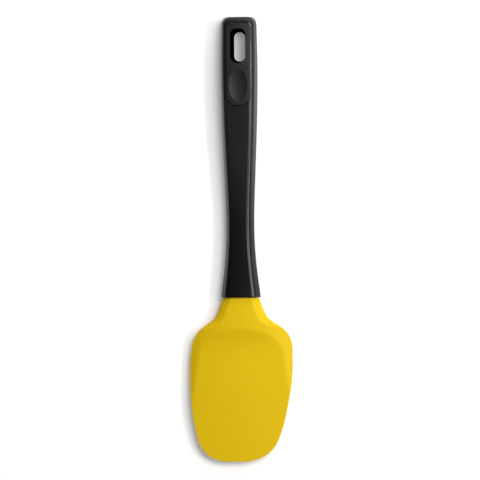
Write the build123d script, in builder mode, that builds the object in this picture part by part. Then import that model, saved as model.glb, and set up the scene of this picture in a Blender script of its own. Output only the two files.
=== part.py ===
from build123d import *
import os
from math import acos, asin, atan2, cos, hypot, radians, sin

os.makedirs("parts", exist_ok=True)

# Silicone spatula lying on its back, in millimetres.
# X runs across, Y from the blade's tip to the handle's butt, Z up from the table.

# Overall
handle_length = 183.6
blade_length = 107.6
seam_height = 6.5  # height of the widest line, where the two handle shells meet

# Handle, seen from above: widths at the widest line and widths of the front face
butt_width = 23.5
grip_width = 24.2
waist_width = 18.4
mouth_width = 26.2
butt_face_width = 19.6
grip_face_width = 20.2
waist_face_width = 13.1
mouth_face_width = 19.3
grip_from_butt = 45
waist_from_butt = 134

# Handle, seen from the side: heights of the front face over the table
butt_front = 13.6
grip_front = 15.4
waist_front = 12.6
mouth_front = 13.0
land_depth = 0.6  # how much of the rounded back is planed off, where the handle rests
finger_arch = 0.6  # rise of the back between the two lands

# Handle, cross section and butt
face_crown = 0.4
face_edge_radius = 4.0
side_radius = 3.0
butt_round_length = 5.5
butt_round_inset = 4.2
butt_round_angle = 78
mouth_edge_radius = 0.6

# How far the width and depth have changed, part of the way from one named station to the next
taper_shares = ((0.33, 0.25), (0.67, 0.68))
flare_shares = ((0.38, 0.13), (0.75, 0.59))
butt_round_shares = (0, 0.33, 0.62, 0.84, 1)

# Shape of the blade's rounded flank: shares of its depth and inset, from the widest line up
flank_shares = ((0.12, 0.012), (0.24, 0.05), (0.44, 0.16), (0.61, 0.31), (0.75, 0.47), (0.88, 0.7), (1, 1))

# Handle, inside
shell_wall = 2.6
hollow_radius = 1.5
butt_wall = 3.2
mouth_wall = 4.0
rib_thickness = 1.8
rib_stations_from_mouth = (22, 76, 88)
boss_radius = 4.2
socket_clearance = 0.15

# Hanging insert: a panel in the front face with a sleeve through both shells
panel_width = 15.7
panel_length = 54.2
panel_from_butt = 4.1
panel_top_radius = 3.3
panel_bottom_radius = 7.0
panel_proud = 0.25
panel_edge_radius = 0.5
panel_groove = 0.35
panel_floor_height = 10.8
panel_floor_wall = 1.8
opening_width = 10.1
opening_length = 22.8
opening_from_butt = 7.7
opening_top_radius = 4.0
opening_bottom_radius = 4.9
slot_width = 7.1
slot_length = 19.0
slot_radius = 3.4
sleeve_wall = 1.3
sleeve_clearance = 0.12
sleeve_seat_wall = 1.6
dish_depth = 0.7
dish_width = 13.6
dish_length = 24.0
dish_above_panel_end = 13.2

# Blade core: one stiff moulding, with a tang in the handle and a paddle in the silicone
core_thickness = 2.8
tang_width = 9.0
tang_length = 62.0
tang_end_radius = 3.0
tang_clearance = 0.1
stem_width = 12.0
stem_length = 18.0
paddle_width = 42.0
paddle_shoulder_from_mouth = 31.0
paddle_end_from_mouth = 55.0
paddle_corner_cut = 9.0
paddle_radius = 6.0
lock_hole_radius = 3.0
lock_hole_spacing = 12.0
lock_holes_from_mouth = 40.0
core_clearance = 0.08

# Tang pins, blind in both shells
pin_radius = 1.5
pin_end_wall = 2.2
pin_clearance = 0.02
pins_from_mouth = (12, 50)

# Silicone blade: outline
blade_width = 67.4
neck_gap = 0.15  # shadow gap between the handle's mouth and the neck
neck_width = 23.6
flare_width = 33.6
flare_from_mouth = 13.4
shoulder_from_mouth = 23.9
left_shoulder_width = 31.3  # half width; the right shoulder reaches the full width at once
flare_radius = 14.1
shoulder_radius = 17.9
tip_left = 12.5  # the flat of the tip lies left of the axis
tip_right = 4.2
left_wide_from_tip = 68.3
left_side_from_tip = 42.7
right_side_from_tip = 53.5
left_low_width = 31.7  # half widths where the sides turn in
right_low_width = 28.0
low_from_tip = 25.0
left_corner_width = 26.0
right_corner_width = 20.4
corner_from_tip = 4.4
wide_bend_radius = 90.0
side_bend_radius = 138.0
low_bend_radius = 86.0
left_corner_radius = 17.7
right_corner_radius = 22.3
tip_bend_radius = 18.9

# Silicone blade: depth
flank_depth = 5.6  # how far the rounded flanks reach above and below the blade's widest line
flank_inset = 9.4
neck_front = 11.2
neck_back = 0.9
crease_from_mouth = 20.8  # apex of the arch where the front scoop starts
crease_front = 12.0
high_scoop_front = 10.2
high_scoop_from_mouth = 29.5
scoop_front = 9.6
scoop_from_mouth = 48.0
low_scoop_front = 8.9
low_scoop_from_mouth = 76.0
tip_front = 7.3
tip_back = 5.7
heel_back = 1.2
scoop_crown_radius = 320.0
neck_crown_radius = 110.0
neck_crown_width = 32.0
neck_side_radius = 60.0
arch_radius = 8.0
spigot_width = 14.4
spigot_depth = 6.0
spigot_length = 4.0
spigot_radius = 2.0

# Places that follow from the sizes above
overrun = 5.0  # how far a cutting shape runs past what it cuts
butt_y = (handle_length + blade_length) / 2
mouth_y = butt_y - handle_length
tip_y = mouth_y - blade_length
neck_y = mouth_y - neck_gap
panel_top_y = butt_y - panel_from_butt
panel_end_y = panel_top_y - panel_length
opening_y = butt_y - opening_from_butt - opening_length / 2
core_bottom = seam_height - core_thickness / 2


def between(start, end, share):
    return start + (end - start) * share


def blend(start, end, shares):
    # A handle station part of the way between two others
    along, change = shares
    return (between(start[0], end[0], along), *(between(a, b, change) for a, b in zip(start[1:], end[1:])))


# Handle stations: distance from the butt, width, width of the face, front height, back height
butt = (0, butt_width, butt_face_width, butt_front, -land_depth)
grip = (grip_from_butt, grip_width, grip_face_width, grip_front, -land_depth)
waist = (waist_from_butt, waist_width, waist_face_width, waist_front, finger_arch)
mouth = (handle_length, mouth_width, mouth_face_width, mouth_front, -land_depth)
after_butt = [grip]
after_butt += [blend(grip, waist, shares) for shares in taper_shares]
after_butt += [waist]
after_butt += [blend(waist, mouth, shares) for shares in flare_shares]
after_butt += [mouth]


def inset_station(station, inset, from_butt):
    return (
        from_butt,
        station[1] - 2 * inset,
        station[2] - 2 * inset,
        station[3] - inset,
        station[4] + inset,
    )


def handle_section(
    from_butt, width, face_width, front, back, edge_radius=face_edge_radius, side_radius=side_radius
):
    # Crowned face, two flanks, round sides and a round back, drawn in the plane across the handle
    face, face_edge = face_width / 2, front - face_crown
    side = width / 2 - side_radius  # centre of the round side, at the seam's height
    run, rise = face - side, face_edge - seam_height
    flank_lean = atan2(rise, run) - acos(side_radius / hypot(run, rise))
    flank_end = (side + side_radius * cos(flank_lean), seam_height + side_radius * sin(flank_lean))
    back_rise = seam_height - back - side_radius
    back_centre = (side**2 + seam_height**2 - (back + side_radius) ** 2) / (2 * back_rise)
    back_lean = atan2(back_centre - seam_height, side)
    back_end = (side + side_radius * cos(back_lean), seam_height - side_radius * sin(back_lean))
    with BuildSketch(Plane.XZ.offset(from_butt - butt_y)) as section:
        with BuildLine():
            ThreePointArc((-face, face_edge), (0, front), (face, face_edge))
            Line((face, face_edge), flank_end)
            ThreePointArc(flank_end, (side + side_radius, seam_height), back_end)
            ThreePointArc(back_end, (0, back), (-back_end[0], back_end[1]))
            ThreePointArc(
                (-back_end[0], back_end[1]),
                (-side - side_radius, seam_height),
                (-flank_end[0], flank_end[1]),
            )
            Line((-flank_end[0], flank_end[1]), (-face, face_edge))
        make_face()
        fillet(section.vertices().group_by(Axis.Y)[-1], edge_radius)
    return section.sketch


def panel_outline(height, grow):
    # Straight sides, small top corners and a broad round lower end
    half = panel_width / 2
    with BuildSketch(Plane.XY.offset(height)) as outline:
        with BuildLine():
            FilletPolyline(
                (-half, panel_top_y),
                (half, panel_top_y),
                (half, panel_end_y),
                (-half, panel_end_y),
                radius=(panel_top_radius, panel_top_radius, panel_bottom_radius, panel_bottom_radius),
                close=True,
            )
        make_face()
        if grow:
            offset(amount=grow)
    return outline.sketch


def opening_outline(height, width, length, top_radius, bottom_radius):
    # Hanging opening round its own centre
    half, top, end = width / 2, opening_y + length / 2, opening_y - length / 2
    with BuildSketch(Plane.XY.offset(height)) as outline:
        with BuildLine():
            FilletPolyline(
                (-half, top),
                (half, top),
                (half, end),
                (-half, end),
                radius=(top_radius, top_radius, bottom_radius, bottom_radius),
                close=True,
            )
        make_face()
    return outline.sketch


def sleeve_outline(height, grow):
    # The sleeve's outside, or the hole or seat that goes round it
    return opening_outline(
        height,
        opening_width + 2 * grow,
        opening_length + 2 * grow,
        opening_top_radius + grow,
        opening_bottom_radius + grow,
    )


def core_outline(height, grow):
    # Tang, stem and paddle seen from above
    tang, stem, paddle = tang_width / 2, stem_width / 2, paddle_width / 2
    paddle_end = mouth_y - paddle_end_from_mouth
    right_side = [
        (tang, mouth_y + tang_length),
        (tang, mouth_y),
        (stem, neck_y),
        (stem, mouth_y - stem_length),
        (paddle, mouth_y - paddle_shoulder_from_mouth),
        (paddle, paddle_end + paddle_corner_cut),
        (paddle - paddle_corner_cut, paddle_end),
    ]
    left_side = [(-x, y) for x, y in reversed(right_side)]
    side_radii = [tang_end_radius, 0, 0, paddle_radius, paddle_radius, paddle_radius, paddle_radius]
    with BuildSketch(Plane.XY.offset(height)) as outline:
        with BuildLine():
            FilletPolyline(*right_side, *left_side, radius=side_radii + side_radii[::-1], close=True)
        make_face()
        if grow:
            offset(amount=grow)
        with Locations((0, mouth_y - lock_holes_from_mouth)):
            with GridLocations(lock_hole_spacing, 0, 3, 1):
                Circle(lock_hole_radius - grow, mode=Mode.SUBTRACT)
    return outline.sketch


# Outer form of the whole handle: the long body, then the rounded butt
with BuildPart() as handle_form:
    body_stations = [butt, inset_station(butt, 0, butt_round_length)] + after_butt
    loft([handle_section(*station) for station in body_stations])
    split(bisect_by=Plane.XZ.offset(butt_round_length - butt_y), keep=Keep.TOP)
    butt_sections = []
    for share in butt_round_shares:
        angle = radians(butt_round_angle * share)
        reach = butt_round_length * (1 - sin(angle) / sin(radians(butt_round_angle)))
        butt_sections.append(handle_section(*inset_station(butt, butt_round_inset * (1 - cos(angle)), reach)))
    loft(butt_sections)
    split(bisect_by=Plane.XY, keep=Keep.TOP)
    fillet(handle_form.faces().sort_by(Axis.Y)[0].edges(), mouth_edge_radius)

# Hollow of the handle: what the ribs, the pin bosses, the panel's floor and the sleeve's seat leave free
with BuildPart() as handle_hollow:
    hollow_stations = [inset_station(station, shell_wall, station[0]) for station in body_stations]
    loft([handle_section(*station, hollow_radius, hollow_radius) for station in hollow_stations])
    split(bisect_by=Plane.XZ.offset(butt_wall + butt_round_length - butt_y), keep=Keep.TOP)
    split(bisect_by=Plane.XZ.offset(-mouth_y - mouth_wall), keep=Keep.BOTTOM)
    for from_mouth in rib_stations_from_mouth:
        with Locations((0, mouth_y + from_mouth, seam_height)):
            Box(mouth_width, rib_thickness, 2 * grip_front, mode=Mode.SUBTRACT)
    for from_mouth in pins_from_mouth:
        with Locations((0, mouth_y + from_mouth, seam_height)):
            Cylinder(boss_radius, 2 * grip_front, mode=Mode.SUBTRACT)
    panel_seat = panel_outline(panel_floor_height - panel_floor_wall, panel_groove + shell_wall)
    extrude(panel_seat, grip_front, mode=Mode.SUBTRACT)
    sleeve_seat = sleeve_outline(-overrun, sleeve_wall + sleeve_clearance + sleeve_seat_wall)
    extrude(sleeve_seat, grip_front + overrun, mode=Mode.SUBTRACT)

# Handle with all its recesses and holes, before it is parted at the seam
with BuildPart() as handle_body:
    add(handle_form.part)
    add(handle_hollow.part, mode=Mode.SUBTRACT)
    extrude(panel_outline(panel_floor_height, panel_groove), grip_front, mode=Mode.SUBTRACT)
    sleeve_hole = sleeve_outline(-overrun, sleeve_wall + sleeve_clearance)
    extrude(sleeve_hole, grip_front + overrun, mode=Mode.SUBTRACT)
    extrude(core_outline(core_bottom, tang_clearance), core_thickness, mode=Mode.SUBTRACT)
    with BuildSketch(Plane.XZ.offset(-mouth_y)):
        with Locations((0, seam_height)):
            RectangleRounded(
                spigot_width + 2 * socket_clearance,
                spigot_depth + 2 * socket_clearance,
                spigot_radius + socket_clearance,
            )
    extrude(amount=-spigot_length - socket_clearance, mode=Mode.SUBTRACT)
    for from_mouth in pins_from_mouth:
        with Locations((0, mouth_y + from_mouth, seam_height)):
            Cylinder(pin_radius + pin_clearance, 2 * (seam_height - pin_end_wall), mode=Mode.SUBTRACT)

# Front shell of the handle, which carries the panel
with BuildPart() as handle_front_shell:
    add(handle_body.part)
    split(bisect_by=Plane.XY.offset(seam_height), keep=Keep.TOP)

# Back shell of the handle, with the two flat lands that it rests on
with BuildPart() as handle_back_shell:
    add(handle_body.part)
    split(bisect_by=Plane.XY.offset(seam_height), keep=Keep.BOTTOM)

# Handle form raised by the height that the panel stands proud of the face
with BuildPart() as panel_form:
    raised_stations = [(*station[:3], station[3] + panel_proud, station[4]) for station in body_stations]
    loft([handle_section(*station) for station in raised_stations])

# Sleeve of the insert, cut to the handle's back
with BuildPart() as insert_sleeve:
    extrude(sleeve_outline(0, sleeve_wall), panel_floor_height)
    add(handle_form.part, mode=Mode.INTERSECT)

# Hanging insert: dished panel and sleeve in one moulding
with BuildPart() as hanging_insert:
    extrude(panel_outline(panel_floor_height, 0), grip_front)
    add(panel_form.part, mode=Mode.INTERSECT)
    fillet(hanging_insert.faces().sort_by(Axis.Z)[-1].edges(), panel_edge_radius)
    dish_across = (dish_width**2 / 4 + dish_depth**2) / (2 * dish_depth)
    dish_along = (dish_length**2 / 4 + dish_depth**2) / (2 * dish_depth)
    dish_bottom = grip_front + panel_proud - dish_depth
    with Locations((0, panel_end_y + dish_above_panel_end, dish_bottom + dish_along)):
        Torus(dish_along - dish_across, dish_across, rotation=(0, 90, 0), mode=Mode.SUBTRACT)
    add(insert_sleeve.part)
    opening = sleeve_outline(panel_floor_height, 0)
    extrude(opening, grip_front, mode=Mode.SUBTRACT)
    slot = opening_outline(-panel_proud, slot_width, slot_length, slot_radius, slot_radius)
    loft([slot, opening], ruled=True, mode=Mode.SUBTRACT)

# Stiff core of the blade, with its tang
with BuildPart() as blade_core:
    extrude(core_outline(core_bottom, 0), core_thickness)
    for from_mouth in pins_from_mouth:
        with Locations((0, mouth_y + from_mouth, seam_height)):
            Cylinder(pin_radius + pin_clearance, 2 * core_thickness, mode=Mode.SUBTRACT)

# Two blind pins that lock the tang between the shells
with BuildPart() as tang_pins:
    for from_mouth in pins_from_mouth:
        with Locations((0, mouth_y + from_mouth, seam_height)):
            Cylinder(pin_radius, 2 * (seam_height - pin_end_wall))

# Corners of the blade's outline, clockwise, with a radius for each.
# The neck runs past the mouth and is cut there.
neck_start_y = mouth_y + 2 * flank_inset
flare_corner = (flare_width / 2, mouth_y - flare_from_mouth)
blade_points = [
    (neck_width / 2, neck_start_y),
    (neck_width / 2, mouth_y),
    flare_corner,
    (blade_width / 2, mouth_y - shoulder_from_mouth),
    (blade_width / 2, tip_y + right_side_from_tip),
    (right_low_width, tip_y + low_from_tip),
    (right_corner_width, tip_y + corner_from_tip),
    (tip_right, tip_y),
    (-tip_left, tip_y),
    (-left_corner_width, tip_y + corner_from_tip),
    (-left_low_width, tip_y + low_from_tip),
    (-blade_width / 2, tip_y + left_side_from_tip),
    (-blade_width / 2, tip_y + left_wide_from_tip),
    (-left_shoulder_width, mouth_y - shoulder_from_mouth),
    (-flare_corner[0], flare_corner[1]),
    (-neck_width / 2, mouth_y),
    (-neck_width / 2, neck_start_y),
]
neck_radii = [0, 0, flare_radius, shoulder_radius]
right_radii = [side_bend_radius, low_bend_radius, right_corner_radius, tip_bend_radius]
left_radii = [tip_bend_radius, left_corner_radius, low_bend_radius, side_bend_radius, wide_bend_radius]
blade_radii = neck_radii + right_radii + left_radii + neck_radii[::-1]


def blade_outline(height, inset):
    # The blade's outline with every side moved in, its corners still round about the same centres
    points, radii = [], []
    for index, corner in enumerate(blade_points):
        corner = Vector(*corner)
        arriving = corner - Vector(*blade_points[index - 1])
        leaving = Vector(*blade_points[(index + 1) % len(blade_points)]) - corner
        inward = [Vector(run.Y, -run.X).normalized() for run in (arriving, leaving)]
        points.append(corner + (inward[0] + inward[1]) * (inset / (1 + inward[0].dot(inward[1]))))
        hollow = arriving.cross(leaving).Z > 0
        radius = blade_radii[index]
        radii.append(radius and radius + (inset if hollow else -inset))
    with BuildSketch(Plane.XY.offset(height)) as outline:
        with BuildLine():
            FilletPolyline(*points, radius=radii, close=True)
        make_face()
    return outline.sketch


# Front of the blade, as a wide block that its outline is cut from
crease_y = mouth_y - crease_from_mouth
with BuildPart() as blade_front:
    # The scoop falls from the arch to the tip, and its crown is turned about a low axis
    with BuildSketch(Plane.YZ):
        with BuildLine():
            Polyline(
                (tip_y, tip_front),
                (tip_y - overrun, tip_front),
                (tip_y - overrun, -overrun),
                (neck_y + overrun, -overrun),
                (neck_y + overrun, 2 * crease_front),
                (crease_y, 2 * crease_front),
                (crease_y, crease_front),
            )
            Spline(
                (crease_y, crease_front),
                (mouth_y - high_scoop_from_mouth, high_scoop_front),
                (mouth_y - scoop_from_mouth, scoop_front),
                (mouth_y - low_scoop_from_mouth, low_scoop_front),
                (tip_y, tip_front),
            )
        make_face()
    revolve(axis=Axis((0, 0, -scoop_crown_radius), (0, 1, 0)))

    # The neck's crown rises from the mouth to the arch and runs on over the blade
    neck_rise = atan2(crease_front - neck_front, neck_y - crease_y)
    neck_lean = asin(neck_crown_width / (2 * neck_crown_radius))
    side_lean = asin(sin(neck_lean) + (blade_width - neck_crown_width) / (2 * neck_side_radius))
    crown_end = (neck_crown_width / 2, -neck_crown_radius * (1 - cos(neck_lean)))
    side_end = (blade_width / 2, crown_end[1] - neck_side_radius * (cos(neck_lean) - cos(side_lean)))
    rising = Plane((0, crease_y, crease_front), (1, 0, 0), (0, -cos(neck_rise), sin(neck_rise)))
    with BuildSketch(rising) as neck_crown:
        with BuildLine():
            RadiusArc((-crown_end[0], crown_end[1]), crown_end, neck_crown_radius)
            RadiusArc(crown_end, side_end, neck_side_radius)
            Polyline(
                side_end,
                (side_end[0], -2 * crease_front),
                (-side_end[0], -2 * crease_front),
                (-side_end[0], side_end[1]),
            )
            RadiusArc((-side_end[0], side_end[1]), (-crown_end[0], crown_end[1]), neck_side_radius)
        make_face()
    extrude(neck_crown.sketch, amount=2 * blade_length, both=True, mode=Mode.INTERSECT)

    arch = blade_front.edges().filter_by(GeomType.BSPLINE).sort_by(SortBy.LENGTH)[-1]
    fillet(arch, arch_radius)

# Silicone blade moulded over the core
with BuildPart() as silicone_head:
    for side in (1, -1):
        levels = [(0, 0)]
        levels += [(side * flank_depth * depth, flank_inset * inset) for depth, inset in flank_shares]
        loft([blade_outline(seam_height + depth, inset) for depth, inset in levels[::side]])
    split(bisect_by=Plane.XZ.offset(-neck_y), keep=Keep.TOP)

    # The back is nearly level under the neck and rises from the heel to the tip
    neck_back_rise = (heel_back - neck_back) / (neck_y - crease_y)
    tip_back_rise = (tip_back - heel_back) / (crease_y - tip_y)
    for rise in (neck_back_rise, tip_back_rise):
        split(bisect_by=Plane((0, crease_y, heel_back), (1, 0, 0), (0, rise, 1)), keep=Keep.TOP)
    add(blade_front.part, mode=Mode.INTERSECT)

    # Spigot that enters the handle, and the space that the core fills
    with BuildSketch(Plane.XZ.offset(-neck_y)):
        with Locations((0, seam_height)):
            RectangleRounded(spigot_width, spigot_depth, spigot_radius)
    extrude(amount=-neck_gap - spigot_length)
    extrude(core_outline(core_bottom, core_clearance), core_thickness, mode=Mode.SUBTRACT)

handle_front_shell.part.label = "handle_front_shell"
handle_back_shell.part.label = "handle_back_shell"
hanging_insert.part.label = "hanging_insert"
blade_core.part.label = "blade_core"
tang_pins.part.label = "tang_pins"
silicone_head.part.label = "silicone_head"

export_step(handle_front_shell.part, "parts/handle_front_shell.step")
export_step(handle_back_shell.part, "parts/handle_back_shell.step")
export_step(hanging_insert.part, "parts/hanging_insert.step")
export_step(blade_core.part, "parts/blade_core.step")
export_step(tang_pins.part, "parts/tang_pins.step")
export_step(silicone_head.part, "parts/silicone_head.step")
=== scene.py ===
import bpy
import math
from mathutils import Matrix, Vector

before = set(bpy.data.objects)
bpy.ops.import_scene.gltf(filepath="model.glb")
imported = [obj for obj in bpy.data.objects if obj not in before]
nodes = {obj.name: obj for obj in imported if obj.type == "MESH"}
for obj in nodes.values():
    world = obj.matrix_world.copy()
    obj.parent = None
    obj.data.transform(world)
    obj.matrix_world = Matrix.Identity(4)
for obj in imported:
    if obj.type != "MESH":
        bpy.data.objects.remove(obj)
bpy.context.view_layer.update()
print("spatula: packed model loaded,", len(nodes), "nodes")

# Camera: a long lens that looks down, a little from the right
camera = {
    "target": (-0.00033, -0.00033, 0.0065),
    "distance": 2.3,
    "leanRight": 5.0,  # degrees off the vertical
    "roll": 0.49,
    "frameWidth": 0.3144,  # metres across the picture at the target
    "sensor": 36.0,
    "clip": (0.05, 20.0),  # nearest and farthest metre that it sees
}


def makeCamera(settings):
    lean, roll = math.radians(settings["leanRight"]), math.radians(settings["roll"])
    back = Vector((math.sin(lean), 0, math.cos(lean)))
    up = Vector((0, 1, 0))
    right = up.cross(back)
    turn = Matrix((right, up, back)).transposed() @ Matrix.Rotation(-roll, 3, "Z")
    data = bpy.data.cameras.new("copyCamera")
    data.sensor_width = settings["sensor"]
    data.lens = settings["sensor"] * settings["distance"] / settings["frameWidth"]
    data.clip_start, data.clip_end = settings["clip"]
    obj = bpy.data.objects.new("copyCamera", data)
    place = Vector(settings["target"]) + back * settings["distance"]
    obj.matrix_world = Matrix.Translation(place) @ turn.to_4x4()
    bpy.context.scene.collection.objects.link(obj)
    bpy.context.scene.camera = obj


makeCamera(camera)
print("spatula: camera set")


# Small helpers for node trees
def addNode(tree, kind, values=None, links=None, **settings):
    node = tree.nodes.new(kind)
    for name, value in settings.items():
        setattr(node, name, value)
    for socket, value in (values or {}).items():
        node.inputs[socket].default_value = value
    for socket, source in (links or {}).items():
        tree.links.new(source, node.inputs[socket])
    return node


def newGroup(name, inputs, outputs):
    group = bpy.data.node_groups.new(name, "ShaderNodeTree")
    for label, kind, value in inputs:
        socket = group.interface.new_socket(name=label, in_out="INPUT", socket_type=kind)
        socket.default_value = value
    for label, kind in outputs:
        group.interface.new_socket(name=label, in_out="OUTPUT", socket_type=kind)
    start = group.nodes.new("NodeGroupInput")
    end = group.nodes.new("NodeGroupOutput")
    return group, start.outputs, end.inputs


def useGroup(tree, group, values):
    return addNode(tree, "ShaderNodeGroup", node_tree=group, values=values)


def makeFineGrain():
    # Moulded surface: a fine even grain and a slow swell under it
    group, given, put = newGroup(
        "fineGrain",
        [
            ("Grain Size", "NodeSocketFloat", 0.0004),
            ("Swell Size", "NodeSocketFloat", 0.02),
            ("Swell", "NodeSocketFloat", 0.3),
        ],
        [("Height", "NodeSocketFloat"), ("Mask", "NodeSocketFloat")],
    )
    place = addNode(group, "ShaderNodeTexCoord")
    heights = []
    for label, detail in (("Grain Size", 2.0), ("Swell Size", 3.0)):
        scale = addNode(
            group,
            "ShaderNodeMath",
            operation="DIVIDE",
            values={0: 1.0},
            links={1: given[label]},
        )
        noise = addNode(
            group,
            "ShaderNodeTexNoise",
            values={"Detail": detail},
            links={"Vector": place.outputs["Object"], "Scale": scale.outputs[0]},
        )
        heights.append(noise.outputs["Fac"])
    swell = addNode(group, "ShaderNodeMath", operation="MULTIPLY", links={0: heights[1], 1: given["Swell"]})
    total = addNode(group, "ShaderNodeMath", operation="ADD", links={0: heights[0], 1: swell.outputs[0]})
    group.links.new(total.outputs[0], put["Height"])
    group.links.new(heights[1], put["Mask"])
    return group


marks = {
    "scratchStretch": (2600.0, 90.0, 2600.0),  # long along the spatula
    "scratchTurn": (0, 0, 0.12),
    "scratchEdge": (0.68, 0.78),  # only the highest noise makes a scratch
    "scratchRoughness": 0.15,
    "smearEdge": (0.3, 0.7),
}


def makeHandMarks():
    # Cloudy smears from handling, with a few fine scratches
    group, given, put = newGroup(
        "handMarks",
        [
            ("Smear Size", "NodeSocketFloat", 0.02),
            ("Scratch Amount", "NodeSocketFloat", 0.3),
            ("Low", "NodeSocketFloat", 0.2),
            ("High", "NodeSocketFloat", 0.3),
        ],
        [("Roughness", "NodeSocketFloat"), ("Scratches", "NodeSocketFloat")],
    )
    place = addNode(group, "ShaderNodeTexCoord")
    scale = addNode(
        group,
        "ShaderNodeMath",
        operation="DIVIDE",
        values={0: 1.0},
        links={1: given["Smear Size"]},
    )
    smear = addNode(
        group,
        "ShaderNodeTexNoise",
        values={"Detail": 5.0, "Distortion": 0.6},
        links={"Vector": place.outputs["Object"], "Scale": scale.outputs[0]},
    )
    stretch = addNode(
        group,
        "ShaderNodeMapping",
        values={"Scale": marks["scratchStretch"], "Rotation": marks["scratchTurn"]},
        links={"Vector": place.outputs["Object"]},
    )
    lines = addNode(
        group,
        "ShaderNodeTexNoise",
        values={"Scale": 1.0, "Detail": 1.0},
        links={"Vector": stretch.outputs[0]},
    )
    thin = addNode(
        group,
        "ShaderNodeMapRange",
        values={"From Min": marks["scratchEdge"][0], "From Max": marks["scratchEdge"][1]},
        links={"Value": lines.outputs["Fac"]},
    )
    scratches = addNode(
        group,
        "ShaderNodeMath",
        operation="MULTIPLY",
        links={0: thin.outputs[0], 1: given["Scratch Amount"]},
    )
    spread = addNode(
        group,
        "ShaderNodeMapRange",
        values={"From Min": marks["smearEdge"][0], "From Max": marks["smearEdge"][1]},
        links={"Value": smear.outputs["Fac"], "To Min": given["Low"], "To Max": given["High"]},
    )
    rough = addNode(
        group,
        "ShaderNodeMath",
        operation="MULTIPLY_ADD",
        values={1: marks["scratchRoughness"]},
        links={0: scratches.outputs[0], 2: spread.outputs[0]},
    )
    group.links.new(rough.outputs[0], put["Roughness"])
    group.links.new(scratches.outputs[0], put["Scratches"])
    return group


scuffs = {
    "speckScale": 900.0,
    "speckEdge": (0.42, 0.62),
    "roughness": 0.3,  # added where the surface is scuffed
}


def makeRestWear():
    # Scuffs where the spatula lies on the table: strongest at the lowest height
    group, given, put = newGroup(
        "restWear",
        [("Reach", "NodeSocketFloat", 0.0012), ("Amount", "NodeSocketFloat", 0.6)],
        [("Mask", "NodeSocketFloat")],
    )
    place = addNode(group, "ShaderNodeTexCoord")
    split = addNode(group, "ShaderNodeSeparateXYZ", links={0: place.outputs["Object"]})
    low = addNode(
        group,
        "ShaderNodeMapRange",
        values={"From Min": 0.0, "To Min": 1.0, "To Max": 0.0},
        links={"Value": split.outputs["Z"], "From Max": given["Reach"]},
    )
    specks = addNode(
        group,
        "ShaderNodeTexNoise",
        values={"Scale": scuffs["speckScale"], "Detail": 4.0},
        links={"Vector": place.outputs["Object"]},
    )
    broken = addNode(
        group,
        "ShaderNodeMapRange",
        values={"From Min": scuffs["speckEdge"][0], "From Max": scuffs["speckEdge"][1]},
        links={"Value": specks.outputs["Fac"]},
    )
    both = addNode(
        group,
        "ShaderNodeMath",
        operation="MULTIPLY",
        links={0: low.outputs[0], 1: broken.outputs[0]},
    )
    mask = addNode(
        group,
        "ShaderNodeMath",
        operation="MULTIPLY",
        links={0: both.outputs[0], 1: given["Amount"]},
    )
    group.links.new(mask.outputs[0], put["Mask"])
    return group


def makeAlongFade():
    # Goes from 0 to 1 along the spatula, with a cloudy edge
    group, given, put = newGroup(
        "alongFade",
        [
            ("Start", "NodeSocketFloat", 0.0),
            ("End", "NodeSocketFloat", 0.08),
            ("Cloud", "NodeSocketFloat", 0.2),
        ],
        [("Mask", "NodeSocketFloat")],
    )
    place = addNode(group, "ShaderNodeTexCoord")
    split = addNode(group, "ShaderNodeSeparateXYZ", links={0: place.outputs["Object"]})
    run = addNode(
        group,
        "ShaderNodeMapRange",
        interpolation_type="SMOOTHSTEP",
        links={"Value": split.outputs["Y"], "From Min": given["Start"], "From Max": given["End"]},
    )
    cloud = addNode(
        group,
        "ShaderNodeTexNoise",
        values={"Scale": 60.0, "Detail": 4.0},
        links={"Vector": place.outputs["Object"]},
    )
    swing = addNode(
        group,
        "ShaderNodeMath",
        operation="SUBTRACT",
        values={1: 0.5},
        links={0: cloud.outputs["Fac"]},
    )
    part = addNode(
        group,
        "ShaderNodeMath",
        operation="MULTIPLY_ADD",
        links={0: swing.outputs[0], 1: given["Cloud"], 2: run.outputs[0]},
    )
    mask = addNode(
        group,
        "ShaderNodeMath",
        operation="MULTIPLY",
        use_clamp=True,
        links={0: part.outputs[0], 1: run.outputs[0]},
    )
    group.links.new(mask.outputs[0], put["Mask"])
    return group


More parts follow.
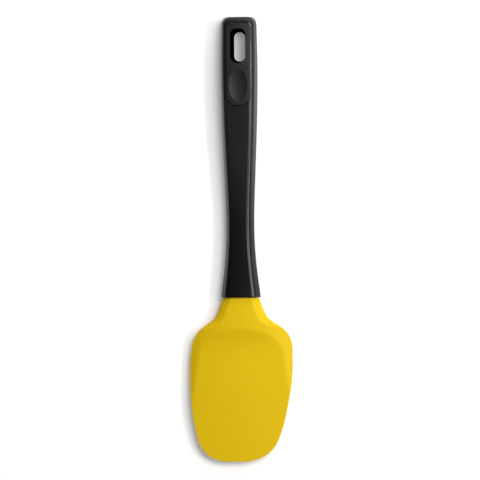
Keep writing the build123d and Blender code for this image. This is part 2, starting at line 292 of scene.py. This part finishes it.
def makeSlotShade():
    # Painted shade inside the hanging opening: 1 on its steep walls, within its width and length
    group, given, put = newGroup(
        "slotShade",
        [
            ("Middle", "NodeSocketFloat", 0.1265),
            ("Half Width", "NodeSocketFloat", 0.0051),
            ("Half Length", "NodeSocketFloat", 0.0115),
            ("Steep", "NodeSocketFloat", 0.7),
        ],
        [("Mask", "NodeSocketFloat")],
    )
    place = addNode(group, "ShaderNodeTexCoord")
    split = addNode(group, "ShaderNodeSeparateXYZ", links={0: place.outputs["Object"]})
    across = addNode(group, "ShaderNodeMath", operation="ABSOLUTE", links={0: split.outputs["X"]})
    inWidth = addNode(
        group,
        "ShaderNodeMath",
        operation="LESS_THAN",
        links={0: across.outputs[0], 1: given["Half Width"]},
    )
    along = addNode(
        group,
        "ShaderNodeMath",
        operation="SUBTRACT",
        links={0: split.outputs["Y"], 1: given["Middle"]},
    )
    far = addNode(group, "ShaderNodeMath", operation="ABSOLUTE", links={0: along.outputs[0]})
    inLength = addNode(
        group,
        "ShaderNodeMath",
        operation="LESS_THAN",
        links={0: far.outputs[0], 1: given["Half Length"]},
    )
    normal = addNode(group, "ShaderNodeSeparateXYZ", links={0: place.outputs["Normal"]})
    wall = addNode(
        group,
        "ShaderNodeMath",
        operation="LESS_THAN",
        links={0: normal.outputs["Z"], 1: given["Steep"]},
    )
    both = addNode(
        group,
        "ShaderNodeMath",
        operation="MULTIPLY",
        links={0: inWidth.outputs[0], 1: inLength.outputs[0]},
    )
    mask = addNode(
        group,
        "ShaderNodeMath",
        operation="MULTIPLY",
        links={0: both.outputs[0], 1: wall.outputs[0]},
    )
    group.links.new(mask.outputs[0], put["Mask"])
    return group


fineGrain = makeFineGrain()
handMarks = makeHandMarks()
restWear = makeRestWear()
alongFade = makeAlongFade()
slotShade = makeSlotShade()
print("spatula: shader groups built")


def makeFinish(name, look):
    material = bpy.data.materials.new(name)
    material.use_nodes = True
    tree = material.node_tree
    shader = tree.nodes["Principled BSDF"]
    for socket, value in look["shader"].items():
        shader.inputs[socket].default_value = value
    grain = useGroup(tree, fineGrain, look["grain"])
    handlingAndPaintedSheen = useGroup(tree, handMarks, look["marks"])
    wear = useGroup(tree, restWear, look["wear"])
    tint = addNode(tree, "ShaderNodeMix", data_type="RGBA", links={"Factor": grain.outputs["Mask"]})
    tint.inputs["A"].default_value = (*look["colour"], 1)
    tint.inputs["B"].default_value = (*look["colourTo"], 1)
    wearAndPaintedLight = addNode(
        tree,
        "ShaderNodeMix",
        data_type="RGBA",
        links={"Factor": wear.outputs["Mask"], "A": tint.outputs["Result"]},
    )
    wearAndPaintedLight.inputs["B"].default_value = (*look["wornColour"], 1)
    rough = addNode(
        tree,
        "ShaderNodeMath",
        operation="MULTIPLY_ADD",
        values={1: scuffs["roughness"]},
        links={0: wear.outputs["Mask"], 2: handlingAndPaintedSheen.outputs["Roughness"]},
    )
    dent = addNode(
        tree,
        "ShaderNodeMath",
        operation="SUBTRACT",
        links={0: grain.outputs["Height"], 1: handlingAndPaintedSheen.outputs["Scratches"]},
    )
    bump = addNode(
        tree,
        "ShaderNodeBump",
        values={"Distance": look["bumpDepth"], "Strength": look["bump"]},
        links={"Height": dent.outputs[0]},
    )
    if "handlingAndPaintedSheen" in look:
        # Painted sheen: the colour is made lighter toward the butt end, standing in for a lamp's reflection
        # on the handle's front
        paintedSheenMask = useGroup(tree, alongFade, look["handlingAndPaintedSheen"])
        paintedSheenMix = addNode(
            tree,
            "ShaderNodeMix",
            data_type="RGBA",
            links={"Factor": paintedSheenMask.outputs["Mask"], "A": wearAndPaintedLight.outputs["Result"]},
        )
        paintedSheenMix.inputs["B"].default_value = (*look["paintedSheenColour"], 1)
        wearAndPaintedLight = paintedSheenMix
    if "slot" in look:
        slot = useGroup(tree, slotShade, look["slot"])
        # Painted shade: the opening's walls are coloured near black
        slotPaintedShadeMix = addNode(
            tree,
            "ShaderNodeMix",
            data_type="RGBA",
            links={"Factor": slot.outputs["Mask"], "A": wearAndPaintedLight.outputs["Result"]},
        )
        slotPaintedShadeMix.inputs["B"].default_value = (*look["slotColour"], 1)
        # Open fault: the export drops a linked specular level
        # Painted shade in the reflection too: the specular level falls to 0 on the opening's walls
        slotShadeSpecular = addNode(
            tree,
            "ShaderNodeMapRange",
            values={"To Min": look["shine"], "To Max": 0.0},
            links={"Value": slot.outputs["Mask"]},
        )
        tree.links.new(slotShadeSpecular.outputs[0], shader.inputs["Specular IOR Level"])
        wearAndPaintedLight = slotPaintedShadeMix
    tree.links.new(wearAndPaintedLight.outputs["Result"], shader.inputs["Base Color"])
    tree.links.new(rough.outputs[0], shader.inputs["Roughness"])
    tree.links.new(bump.outputs[0], shader.inputs["Normal"])
    return material


handleLook = {
    "colour": (0.001, 0.001, 0.0011),
    "colourTo": (0.002, 0.002, 0.0021),
    # Painted sheen: lighter colour toward the butt end, standing in for a lamp's reflection
    "paintedSheenColour": (0.011, 0.011, 0.0112),
    "handlingAndPaintedSheen": {"Start": -0.02, "End": 0.06, "Cloud": 0.3},
    "wornColour": (0.05, 0.05, 0.05),
    "shader": {"IOR": 1.46, "Specular IOR Level": 0.4},
    "grain": {"Grain Size": 0.0006, "Swell Size": 0.03, "Swell": 0.2},
    "marks": {"Smear Size": 0.03, "Scratch Amount": 0.2, "Low": 0.2, "High": 0.26},
    "wear": {"Reach": 0.0008, "Amount": 0.5},
    "bumpDepth": 0.00002,
    "bump": 0.25,
}
insertLook = {
    "colour": (0.008, 0.008, 0.0084),
    "colourTo": (0.012, 0.012, 0.0124),
    # Painted shade: near-black colour for the walls of the hanging opening
    "slotColour": (0.001, 0.001, 0.001),
    "slot": {"Middle": 0.1265, "Half Width": 0.0051, "Half Length": 0.0115, "Steep": 0.7},
    "shine": 0.3,
    "wornColour": (0.06, 0.06, 0.06),
    "shader": {"IOR": 1.5},
    "grain": {"Grain Size": 0.0003, "Swell Size": 0.02, "Swell": 0.2},
    "marks": {"Smear Size": 0.015, "Scratch Amount": 0.15, "Low": 0.36, "High": 0.44},
    "wear": {"Reach": 0.0006, "Amount": 0.5},
    "bumpDepth": 0.00003,
    "bump": 0.35,
}
bladeLook = {
    "colour": (0.72, 0.482, 0.003),
    "colourTo": (0.77, 0.518, 0.004),
    "wornColour": (0.62, 0.42, 0.02),
    "shader": {
        "IOR": 1.41,
        "Specular IOR Level": 0.16,
        "Subsurface Weight": 0.08,
        "Subsurface Radius": (0.003, 0.0018, 0.0003),
        "Subsurface Scale": 1.0,
    },
    "grain": {"Grain Size": 0.0004, "Swell Size": 0.025, "Swell": 0.25},
    "marks": {"Smear Size": 0.02, "Scratch Amount": 0.1, "Low": 0.5, "High": 0.58},
    "wear": {"Reach": 0.001, "Amount": 0.3},
    "bumpDepth": 0.00004,
    "bump": 0.3,
}
coreLook = {
    "colour": (0.045, 0.045, 0.045),
    "colourTo": (0.06, 0.06, 0.06),
    "wornColour": (0.1, 0.1, 0.1),
    "shader": {"IOR": 1.5},
    "grain": {"Grain Size": 0.0004, "Swell Size": 0.02, "Swell": 0.2},
    "marks": {"Smear Size": 0.02, "Scratch Amount": 0.2, "Low": 0.45, "High": 0.55},
    "wear": {"Reach": 0.001, "Amount": 0.2},
    "bumpDepth": 0.00003,
    "bump": 0.3,
}
pinLook = {
    "colour": (0.56, 0.56, 0.57),
    "colourTo": (0.63, 0.63, 0.64),
    "wornColour": (0.4, 0.4, 0.4),
    "shader": {"Metallic": 1.0},
    "grain": {"Grain Size": 0.0002, "Swell Size": 0.01, "Swell": 0.1},
    "marks": {"Smear Size": 0.01, "Scratch Amount": 0.5, "Low": 0.25, "High": 0.35},
    "wear": {"Reach": 0.001, "Amount": 0.0},
    "bumpDepth": 0.00001,
    "bump": 0.3,
}

blackGloss = makeFinish("blackGloss", handleLook)
blackSatin = makeFinish("blackSatin", insertLook)
yellowSilicone = makeFinish("yellowSilicone", bladeLook)
greyCore = makeFinish("greyCore", coreLook)
drawnSteel = makeFinish("drawnSteel", pinLook)


def dress(obj, material):
    obj.data.materials.clear()
    obj.data.materials.append(material)


dress(nodes["handle_front_shell"], blackGloss)
dress(nodes["handle_back_shell"], blackGloss)
dress(nodes["hanging_insert"], blackSatin)
dress(nodes["silicone_head"], yellowSilicone)
dress(nodes["blade_core"], greyCore)
dress(nodes["tang_pins"], drawnSteel)
print("spatula: finishes on the packed nodes")

# Floor and light
studio = {
    "floorSize": 6.0,
    "floorColour": (0.9, 0.9, 0.9),
    "floorRoughness": 0.9,
    "floorLift": 0.2,  # added where the camera or a reflection sees the floor
    "skyTowards": (0.82, 0.57, 0.0),
    "skyDim": 0.14,  # on the side away from the lamps
    "skyBright": 0.66,
    "skyFade": (-0.2, 0.9),  # from turned away to facing
    "keyPlace": (0.85, 0.6, 1.85),
    "keySize": (1.0, 1.0),
    "keyPower": 25.5,
    "stripPlace": (1.7, 0.12, 1.7),
    "stripSize": (1.3, 0.25),
    "stripPower": 16.0,
    "buttPlace": (0.7, 1.9, 0.7),
    "buttSize": (1.7, 0.5),
    "buttPower": 9.0,
}


def makeFloor(settings):
    half = settings["floorSize"] / 2
    mesh = bpy.data.meshes.new("paperFloor")
    mesh.from_pydata(
        [(-half, -half, 0), (half, -half, 0), (half, half, 0), (-half, half, 0)],
        [],
        [(0, 1, 2, 3)],
    )
    floor = bpy.data.objects.new("paperFloor", mesh)
    bpy.context.scene.collection.objects.link(floor)
    material = bpy.data.materials.new("paperFloor")
    material.use_nodes = True
    tree = material.node_tree
    shader = tree.nodes["Principled BSDF"]
    shader.inputs["Base Color"].default_value = (*settings["floorColour"], 1)
    shader.inputs["Roughness"].default_value = settings["floorRoughness"]
    shader.inputs["Specular IOR Level"].default_value = 0.0
    rays = addNode(tree, "ShaderNodeLightPath")
    seen = addNode(
        tree,
        "ShaderNodeMath",
        operation="MAXIMUM",
        links={0: rays.outputs["Is Camera Ray"], 1: rays.outputs["Is Glossy Ray"]},
    )
    seenAll = addNode(
        tree,
        "ShaderNodeMath",
        operation="MAXIMUM",
        links={0: seen.outputs[0], 1: rays.outputs["Is Transmission Ray"]},
    )
    lift = addNode(
        tree,
        "ShaderNodeMath",
        operation="MULTIPLY",
        values={1: settings["floorLift"]},
        links={0: seenAll.outputs[0]},
    )
    shader.inputs["Emission Color"].default_value = (1, 1, 1, 1)
    tree.links.new(lift.outputs[0], shader.inputs["Emission Strength"])
    mesh.materials.append(material)


def makeSoftbox(name, place, size, power):
    data = bpy.data.lights.new(name, "AREA")
    data.shape = "RECTANGLE"
    data.size, data.size_y = size
    data.energy = power
    obj = bpy.data.objects.new(name, data)
    obj.location = place
    obj.rotation_mode = "QUATERNION"
    obj.rotation_quaternion = (-Vector(place)).to_track_quat("-Z", "Y")
    bpy.context.scene.collection.objects.link(obj)


def makeSky(settings):
    # A dim room whose walls are paler on the side of the key
    world = bpy.data.worlds.new("studioSky")
    world.use_nodes = True
    tree = world.node_tree
    place = addNode(tree, "ShaderNodeTexCoord")
    facing = addNode(
        tree,
        "ShaderNodeVectorMath",
        operation="DOT_PRODUCT",
        values={1: settings["skyTowards"]},
        links={0: place.outputs["Generated"]},
    )
    fade = addNode(
        tree,
        "ShaderNodeMapRange",
        values={
            "From Min": settings["skyFade"][0],
            "From Max": settings["skyFade"][1],
            "To Min": settings["skyDim"],
            "To Max": settings["skyBright"],
        },
        links={"Value": facing.outputs["Value"]},
    )
    shade = tree.nodes["Background"]
    shade.inputs["Color"].default_value = (1, 1, 1, 1)
    tree.links.new(fade.outputs[0], shade.inputs["Strength"])
    bpy.context.scene.world = world


makeFloor(studio)
makeSky(studio)
makeSoftbox("keySoftbox", studio["keyPlace"], studio["keySize"], studio["keyPower"])
makeSoftbox("stripSoftbox", studio["stripPlace"], studio["stripSize"], studio["stripPower"])
makeSoftbox("buttSoftbox", studio["buttPlace"], studio["buttSize"], studio["buttPower"])
bpy.context.scene.view_settings.view_transform = "Standard"
print("spatula: floor and light set")
